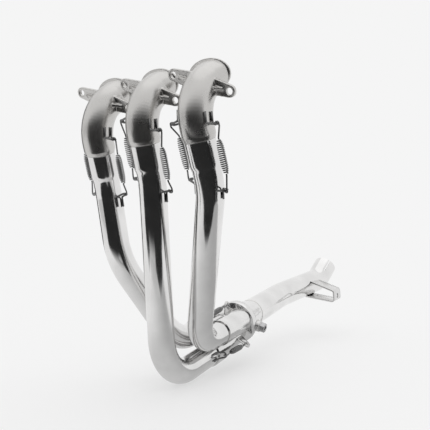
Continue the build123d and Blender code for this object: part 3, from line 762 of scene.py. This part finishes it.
for label, groove, n in (("lower", LOWER_GROOVE, "centre"), ("upper", UPPER_GROOVE, "right")):
    side = np.cross(FLOW, flow_out(groove))
    tip = flow_point(TIP_STATION, TIP_RADIUS[label], groove)
    centre = MOUTHS[n] + FLOW * (TIP_STATION - HOOK_RISE)
    tube_out = across(FLOW, tip - centre)
    loop = hook_points(centre, FLOW, tube_out, TUBE_OD)
    loop_tip = (loop[2] + loop[3]) / 2
    eye = flow_point(TAB_STATION, TAB_RADIUS[label], groove)
    pull = unit(eye - loop_tip)
    middle = (eye + loop_tip) / 2
    near, far = middle - pull * COIL_LENGTH / 2, middle + pull * COIL_LENGTH / 2
    hook_piece(f"wire_hook_collector_{label}", loop, tube_out, f"collector_hook_{label}")
    helix(f"coil_collector_{label}", near, far, f"collector_spring_{label}")
    swivel_piece(f"wire_swivel_near_{label}", swivel_points(near, loop_tip, -pull, tube_out),
                 SWIVEL_BEND, f"collector_swivel_near_{label}")
    beside = side * ((TAB_THICKNESS + SWIVEL_WIRE) / 2 + SWIVEL_GAP)
    clear = pull * (TAB_HOLE / 2 + TAB_EDGE + SWIVEL_WIRE)
    points = [far, far + pull * SWIVEL_SHANK, eye - clear + beside, eye + beside,
              eye - beside, eye - clear - beside]
    swivel_piece(f"wire_swivel_far_{label}", points, TAB_SWIVEL_BEND,
                 f"collector_swivel_far_{label}")

# Studio: pale floor and surround, soft light from above, and cards that only reflections see
CAMERA_RIGHT, CAMERA_UP = vec(0.8339, 0.5519, 0.0), vec(0.0193, -0.0291, 0.9994)
CAMERA_AHEAD = vec(-0.5516, 0.8334, 0.0349)
CAMERA_PLACE = vec(486.44, -574.30, -191.31)
FOCAL_PIXELS, PHOTO_PIXELS, SENSOR, VIEW_END = 560.0, 430.0, 36.0, 200.0
FLOOR_Z = CAD_BOX[0][2] / MM - 0.5
FLOOR_REACH, FLOOR_PAINT, FLOOR_ROUGHNESS, PAPER_SHARE = 60000.0, 0.94, 0.9, 0.5
SUN_ENERGY, SUN_SPREAD, SUN_TILT = 0.18, 60, -12
PALE, DARK = 0.913, 0.02


def stage_plane(name, corners, material):
    """One flat face of the studio."""
    mesh = bpy.data.meshes.new(name)
    mesh.from_pydata([tuple(vec(*c) * MM) for c in corners], [], [tuple(range(len(corners)))])
    obj = show(name, mesh)
    obj.data.materials.append(material)
    return obj


def pale_floor():
    """Matt floor that keeps the shadow, half mixed with an even pale where it is seen."""
    m = bpy.data.materials.new("pale_floor")
    m.use_nodes = True
    nodes, links = m.node_tree.nodes, m.node_tree.links
    shader = nodes["Principled BSDF"]
    shader.inputs["Base Color"].default_value = (FLOOR_PAINT, FLOOR_PAINT, FLOOR_PAINT, 1)
    shader.inputs["Roughness"].default_value = FLOOR_ROUGHNESS
    shader.inputs["Specular IOR Level"].default_value = 0.0
    path = nodes.new("ShaderNodeLightPath")
    seen = path.outputs["Is Camera Ray"]
    for ray in ("Is Glossy Ray", "Is Transmission Ray"):
        either = nodes.new("ShaderNodeMath")
        either.operation = "MAXIMUM"
        links.new(seen, either.inputs[0])
        links.new(path.outputs[ray], either.inputs[1])
        seen = either.outputs[0]
    share = nodes.new("ShaderNodeMath")
    share.operation = "MULTIPLY"
    share.inputs[1].default_value = PAPER_SHARE
    links.new(seen, share.inputs[0])
    paper = nodes.new("ShaderNodeEmission")
    paper.inputs["Color"].default_value = (PALE, PALE, PALE, 1)
    blend = nodes.new("ShaderNodeMixShader")
    links.new(share.outputs[0], blend.inputs["Fac"])
    links.new(shader.outputs["BSDF"], blend.inputs[1])
    links.new(paper.outputs["Emission"], blend.inputs[2])
    links.new(blend.outputs["Shader"], nodes["Material Output"].inputs["Surface"])
    return m


stage_plane("floor", [(x * FLOOR_REACH, y * FLOOR_REACH, FLOOR_Z)
                      for x, y in ((-1, -1), (1, -1), (1, 1), (-1, 1))], pale_floor())

ahead = unit(vec(CAMERA_AHEAD[0], CAMERA_AHEAD[1], 0))
right = vec(CAMERA_RIGHT[0], CAMERA_RIGHT[1], 0)


def studio(forward, sideways, z):
    """A place given by its distance towards the camera, to the right and up."""
    return ahead * -forward + right * sideways + vec(0, 0, z)


def flag(name, corners, along, start, end, first, last):
    """Card seen only in reflections, whose light turns from first to last along a direction."""
    m = bpy.data.materials.new(name)
    m.use_nodes = True
    nodes, links = m.node_tree.nodes, m.node_tree.links
    nodes.remove(nodes["Principled BSDF"])
    glow = nodes.new("ShaderNodeEmission")
    place = nodes.new("ShaderNodeTexCoord")
    reach = nodes.new("ShaderNodeVectorMath")
    reach.operation = "DOT_PRODUCT"
    reach.inputs[1].default_value = unit(along)
    grade = nodes.new("ShaderNodeMapRange")
    grade.interpolation_type = "SMOOTHSTEP"
    grade.inputs["From Min"].default_value = start * MM
    grade.inputs["From Max"].default_value = end * MM
    grade.inputs["To Min"].default_value = first
    grade.inputs["To Max"].default_value = last
    links.new(place.outputs["Object"], reach.inputs[0])
    links.new(reach.outputs["Value"], grade.inputs["Value"])
    links.new(grade.outputs["Result"], glow.inputs["Color"])
    links.new(glow.outputs["Emission"], nodes["Material Output"].inputs["Surface"])
    card = stage_plane(name, corners, m)
    card.visible_camera = False
    card.visible_diffuse = False
    card.visible_shadow = False


# Cards on the floor, as (towards the camera, to the right) in millimetres
LOW = FLOOR_Z + 2.0
BACK, FRONT, WALL, SIDE_END = -400, 270, 2200, -1500
INNER_LEFT, INNER_RIGHT, OUTER_LEFT, OUTER_RIGHT = -320, 420, -4200, 3200
flag("dark_floor", [studio(*c, LOW) for c in (
    (FRONT, INNER_LEFT), (FRONT, INNER_RIGHT), (WALL, OUTER_RIGHT), (WALL, OUTER_LEFT),
    (330, -900))], studio(1.0, 0.0, 0.0), start=250.0, end=700.0, first=0.66, last=DARK)
flag("grey_floor", [studio(*c, LOW) for c in (
    (BACK, INNER_LEFT), (BACK, INNER_RIGHT), (FRONT, INNER_RIGHT), (FRONT, INNER_LEFT))],
    studio(0.0, 1.0, 0.0), start=-320.0, end=300.0, first=0.85, last=0.45)
# Upright cards far off: two lower corners, then the height where the light starts to turn,
# the top, and the light at the foot
for name, one, other, start, top, first in (
        ("dark_wall", (WALL, OUTER_LEFT), (WALL, OUTER_RIGHT), 150.0, 1800.0, DARK),
        ("dark_left", (SIDE_END, -2000), (SIDE_END, -800), 600.0, 1600.0, DARK),
        ("grey_left", (WALL, OUTER_LEFT), (SIDE_END, OUTER_LEFT), -400.0, 1800.0, 0.6)):
    flag(name, [studio(*one, LOW), studio(*other, LOW), studio(*other, top), studio(*one, top)],
         Z_AXIS, start, top, first, PALE)
# Small upright cards close in front, each with a low point: one for all tubes, one for the
# right and one for the left
NEAR_FADE, NEAR_FOOT = 50.0, 0.6
for name, front, left, low_side, end, bottom, low_end, top in (
        ("near_wide", 84, -334, 40, 202, -250, -275, -84),
        ("near_right", 66, 0, 66, 125, -270, -335, -104),
        ("near_left", 20, -210, -75, -39, -230, -275, -141)):
    flag(name, [studio(front, left, bottom), studio(front, low_side, low_end),
                studio(front, end, bottom), studio(front, end, top), studio(front, left, top)],
         Z_AXIS, low_end, low_end + NEAR_FADE, NEAR_FOOT, DARK)

world = bpy.data.worlds.new("pale_surround")
bpy.context.scene.world = world
world.use_nodes = True
world.node_tree.nodes["Background"].inputs["Color"].default_value = (PALE, PALE, PALE, 1)
world.node_tree.nodes["Background"].inputs["Strength"].default_value = 1.0

lamp_data = bpy.data.lights.new("overhead", "SUN")
lamp_data.energy = SUN_ENERGY
lamp_data.angle = radians(SUN_SPREAD)
lamp = show("overhead", lamp_data)
lamp.rotation_euler = (radians(SUN_TILT), 0, 0)

camera_data = bpy.data.cameras.new("camera")
camera_data.sensor_width = SENSOR
camera_data.lens = SENSOR * FOCAL_PIXELS / PHOTO_PIXELS
camera_data.clip_end = VIEW_END
camera = show("camera", camera_data)
stand = Matrix((CAMERA_RIGHT, CAMERA_UP, -CAMERA_AHEAD)).transposed().to_4x4()
stand.translation = Vector(CAMERA_PLACE * MM)
camera.matrix_world = stand
bpy.context.scene.camera = camera
bpy.context.scene.view_settings.view_transform = "Standard"
